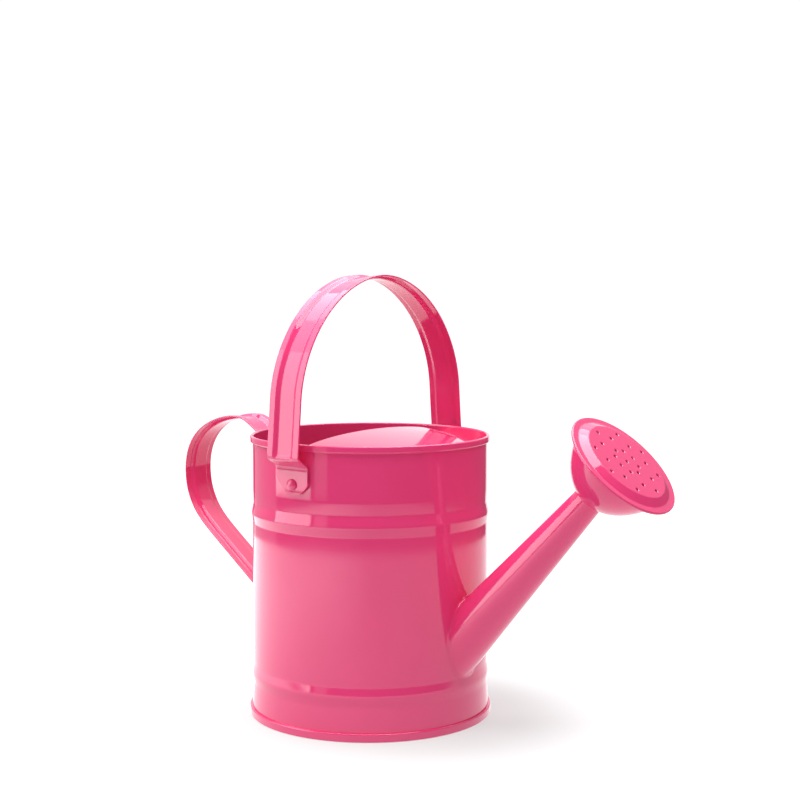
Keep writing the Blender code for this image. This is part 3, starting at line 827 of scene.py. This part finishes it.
def make_rivet(name, side, node):
    """Domed head outside the ear and a flat set head inside the wall."""
    low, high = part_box(node)
    out = high.y if side > 0 else -low.y
    inner = low.y if side > 0 else -high.y
    head_r = (high.x - low.x) / 2
    face = EAR_Y
    foot = face + RIVET_LIP
    outline = [(0.0, out - WALL_R)]
    for step in range(1, RIVET_STEPS + 1):
        a = math.pi / 2 * step / RIVET_STEPS
        outline.append((head_r * math.sin(a), foot - WALL_R + (out - foot) * math.cos(a)))
    outline += [(head_r - RIVET_EASE, face - WALL_R), (PIN_R, face - WALL_R), (PIN_R, -SHEET),
                (SET_HEAD_R, -SHEET - RIVET_EASE), (SET_HEAD_R, -SHEET - SET_HEAD_T),
                (SET_HEAD_TOP_R, inner - WALL_R), (0.0, inner - WALL_R)]
    turned = Matrix.Rotation(-math.pi / 2 * side, 4, "X")
    place = Matrix.Translation((HINGE.x, side * WALL_R, HINGE.z)) @ turned
    return lathe(name, outline, "can", node, place, facets=SMALL_FACETS)


# ---- paint -----------------------------------------------------------------------------------
def paint(name, seed):
    """Glossy enamel: a slight drift of colour and gloss, over a slow waviness of the sheet."""
    mat = bpy.data.materials.new(name)
    mat.use_nodes = True
    nodes, links = mat.node_tree.nodes, mat.node_tree.links
    shader = nodes["Principled BSDF"]
    shader.inputs["IOR"].default_value = PAINT_IOR
    where = nodes.new("ShaderNodeTexCoord")
    shift = nodes.new("ShaderNodeMapping")
    shift.inputs["Location"].default_value = [seed * step for step in SEED_SHIFT]
    links.new(where.outputs["Object"], shift.inputs["Vector"])
    drift = nodes.new("ShaderNodeTexNoise")
    drift.inputs["Scale"].default_value = TINT_SCALE
    drift.inputs["Detail"].default_value = TINT_DETAIL
    links.new(shift.outputs["Vector"], drift.inputs["Vector"])
    tint = nodes.new("ShaderNodeValToRGB")
    for element, (position, color) in zip(tint.color_ramp.elements, TINTS):
        element.position = position
        element.color = color
    links.new(drift.outputs["Fac"], tint.inputs["Fac"])
    links.new(tint.outputs["Color"], shader.inputs["Base Color"])
    gloss = nodes.new("ShaderNodeMapRange")
    gloss.inputs["To Min"].default_value = GLOSS[0]
    gloss.inputs["To Max"].default_value = GLOSS[1]
    links.new(drift.outputs["Fac"], gloss.inputs["Value"])
    links.new(gloss.outputs["Result"], shader.inputs["Roughness"])
    wave = nodes.new("ShaderNodeTexNoise")
    wave.inputs["Scale"].default_value = WAVE_SCALE
    wave.inputs["Detail"].default_value = 1.0
    links.new(shift.outputs["Vector"], wave.inputs["Vector"])
    slow = nodes.new("ShaderNodeBump")
    slow.inputs["Strength"].default_value = WAVE_STRENGTH
    slow.inputs["Distance"].default_value = WAVE_DEPTH
    links.new(wave.outputs["Fac"], slow.inputs["Height"])
    links.new(slow.outputs["Normal"], shader.inputs["Normal"])
    return mat


# ---- studio ----------------------------------------------------------------------------------
def plain(name, color, glow=0.0):
    """Matt card or floor; glow is the radiance that it gives off."""
    mat = bpy.data.materials.new(name)
    mat.use_nodes = True
    shader = mat.node_tree.nodes["Principled BSDF"]
    shader.inputs["Base Color"].default_value = (*color, 1.0)
    shader.inputs["Roughness"].default_value = 0.9
    shader.inputs["Specular IOR Level"].default_value = 0.0
    shader.inputs["Emission Color"].default_value = (1, 1, 1, 1)
    shader.inputs["Emission Strength"].default_value = glow
    return mat


def stage_sheet(name, points, faces, material):
    mesh = bpy.data.meshes.new(name)
    mesh.from_pydata(points, [], faces)
    mesh.materials.append(material)
    item = bpy.data.objects.new(name, mesh)
    bpy.context.scene.collection.objects.link(item)
    return item


def mirrored_only(item):
    """The card shows in the paint's reflections and nowhere else."""
    item.visible_camera = False
    item.visible_diffuse = False
    item.visible_transmission = False
    item.visible_shadow = False


def flat_card(name, middle, half, glow):
    x, y, z = middle
    points = [(x - half, y - half, z), (x + half, y - half, z),
              (x + half, y + half, z), (x - half, y + half, z)]
    card = stage_sheet(name, points, [(0, 1, 2, 3)], plain(name + "_white", (0, 0, 0), glow))
    mirrored_only(card)


def arc_card(name, radius, first, last, low, high, glow):
    """Upright curved card round the can between two bearings, 0 being the camera's side."""
    steps = CARD_STEPS
    points = []
    for i in range(steps + 1):
        bearing = CAMERA_BEARING + math.radians(first + (last - first) * i / steps)
        x = AXIS_X + radius * math.sin(bearing)
        y = -radius * math.cos(bearing)
        points += [(x, y, low), (x, y, high)]
    faces = [(2 * i, 2 * i + 2, 2 * i + 3, 2 * i + 1) for i in range(steps)]
    card = stage_sheet(name, points, faces, plain(name + "_white", (0, 0, 0), glow))
    mirrored_only(card)


def table_top():
    """The lit table as the paint mirrors it: brightest on the left, and dark past its edge."""
    steps = TABLE_STEPS
    points = [(AXIS_X, 0.0, TABLE_Z)]
    for i in range(steps):
        a = math.tau * i / steps
        points.append((AXIS_X + TABLE_R * math.cos(a), TABLE_R * math.sin(a), TABLE_Z))
    faces = [(0, 1 + i, 1 + (i + 1) % steps) for i in range(steps)]
    mat = plain("table_glow", (0, 0, 0), 1.0)
    nodes, links = mat.node_tree.nodes, mat.node_tree.links
    where = nodes.new("ShaderNodeTexCoord")
    turn = nodes.new("ShaderNodeMapping")
    turn.inputs["Rotation"].default_value = (0.0, 0.0, -CAMERA_BEARING)
    links.new(where.outputs["Object"], turn.inputs["Vector"])
    split = nodes.new("ShaderNodeSeparateXYZ")
    links.new(turn.outputs["Vector"], split.inputs["Vector"])
    side = nodes.new("ShaderNodeMapRange")
    side.interpolation_type = "SMOOTHSTEP"
    side.inputs["From Min"].default_value = TABLE_FADE[0]
    side.inputs["From Max"].default_value = TABLE_FADE[1]
    side.inputs["To Min"].default_value = TABLE_GLOW
    side.inputs["To Max"].default_value = TABLE_LEFT_GLOW
    links.new(split.outputs["X"], side.inputs["Value"])
    links.new(side.outputs["Result"], nodes["Principled BSDF"].inputs["Emission Strength"])
    mirrored_only(stage_sheet("table", points, faces, mat))


def make_floor():
    """A pale floor that runs into the white behind it; the camera sees it paler further out, and
    dimmer near the can as a painted shadow round the foot.
    """
    steps = FLOOR_STEPS
    points = []
    for i in range(steps):
        a = math.tau * i / steps
        points.append((AXIS_X + FLOOR_R * math.cos(a), FLOOR_R * math.sin(a), FLOOR_Z))
    mat = plain("floor_white", FLOOR_COLOR, FLOOR_GLOW)
    nodes, links = mat.node_tree.nodes, mat.node_tree.links
    where = nodes.new("ShaderNodeTexCoord")
    reach = nodes.new("ShaderNodeVectorMath")
    reach.operation = "LENGTH"
    links.new(where.outputs["Object"], reach.inputs[0])
    # the glow that the camera sees is lower near the can: a painted shadow round the foot
    painted_shadow_fade = nodes.new("ShaderNodeMapRange")
    painted_shadow_fade.interpolation_type = "SMOOTHSTEP"
    painted_shadow_fade.inputs["From Min"].default_value = FLOOR_PAINTED_SHADOW_FADE[0]
    painted_shadow_fade.inputs["From Max"].default_value = FLOOR_PAINTED_SHADOW_FADE[1]
    painted_shadow_fade.inputs["To Min"].default_value = FLOOR_SEEN_IN_PAINTED_SHADOW
    painted_shadow_fade.inputs["To Max"].default_value = FLOOR_SEEN_FAR
    links.new(reach.outputs["Value"], painted_shadow_fade.inputs["Value"])
    path = nodes.new("ShaderNodeLightPath")
    seen = nodes.new("ShaderNodeMapRange")
    seen.inputs["To Min"].default_value = FLOOR_GLOW
    links.new(path.outputs["Is Camera Ray"], seen.inputs["Value"])
    links.new(painted_shadow_fade.outputs["Result"], seen.inputs["To Max"])
    links.new(seen.outputs["Result"], nodes["Principled BSDF"].inputs["Emission Strength"])
    floor = stage_sheet("floor", points, [tuple(range(steps))], mat)
    floor.visible_glossy = False


def make_world():
    """White behind the object, an even fill for its paint and a dim room in its reflections."""
    world = bpy.data.worlds.new("studio")
    bpy.context.scene.world = world
    world.use_nodes = True
    nodes, links = world.node_tree.nodes, world.node_tree.links
    path = nodes.new("ShaderNodeLightPath")
    last = nodes["Background"]
    last.inputs["Color"].default_value = (1, 1, 1, 1)
    last.inputs["Strength"].default_value = FILL
    for ray, strength in (("Is Glossy Ray", ROOM), ("Is Camera Ray", BACKDROP)):
        shade = nodes.new("ShaderNodeBackground")
        shade.inputs["Color"].default_value = (1, 1, 1, 1)
        shade.inputs["Strength"].default_value = strength
        mix = nodes.new("ShaderNodeMixShader")
        links.new(path.outputs[ray], mix.inputs[0])
        links.new(last.outputs[0], mix.inputs[1])
        links.new(shade.outputs[0], mix.inputs[2])
        last = mix
    links.new(last.outputs[0], nodes["World Output"].inputs["Surface"])


def make_lamp(name, bearing, elevation, power):
    """Soft light on the paint; the cards stand for it in reflections."""
    turned = CAMERA_BEARING + math.radians(bearing)
    height = math.radians(elevation)
    flat = LAMP_DISTANCE * math.cos(height)
    place = Vector((AXIS_X + flat * math.sin(turned), -flat * math.cos(turned),
                    LAMP_DISTANCE * math.sin(height)))
    data = bpy.data.lights.new(name, "AREA")
    data.shape = "SQUARE"
    data.size = LAMP_SIZE
    data.energy = power
    lamp = bpy.data.objects.new(name, data)
    lamp.location = place
    aim = Vector((AXIS_X, 0.0, LAMP_AIM_Z)) - place
    lamp.rotation_euler = aim.to_track_quat("-Z", "Y").to_euler()
    lamp.visible_camera = False
    lamp.visible_glossy = False
    bpy.context.scene.collection.objects.link(lamp)


def make_studio():
    bpy.context.scene.view_settings.view_transform = "Standard"
    make_world()
    make_floor()
    for name, bearing, elevation, power in LAMPS:
        make_lamp(name, bearing, elevation, power)
    table_top()
    flat_card("overhead", OVERHEAD_AT, OVERHEAD_HALF, OVERHEAD_GLOW)
    for name, first, last, low, high, glow in CARDS:
        arc_card(name, CARD_R, first, last, low, high, glow)


def make_camera():
    data = bpy.data.cameras.new("camera")
    data.lens = CAMERA_LENS
    data.sensor_width = CAMERA_SENSOR
    camera = bpy.data.objects.new("camera", data)
    camera.location = CAMERA_AT
    camera.rotation_euler = CAMERA_TURN
    bpy.context.scene.collection.objects.link(camera)
    bpy.context.scene.camera = camera


def main():
    made = [
        make_wall(), make_base(), make_cover(), make_spout(), make_solder(), make_bowl(),
        make_face(), make_bail(), make_rear(),
        make_rivet("rivet_left", 1, "bail_rivet_left"),
        make_rivet("rivet_right", -1, "bail_rivet_right"),
    ]
    for seed, piece in enumerate(made):
        piece.data.materials.append(paint(piece.name + "_enamel", seed))
    make_camera()
    make_studio()


main()
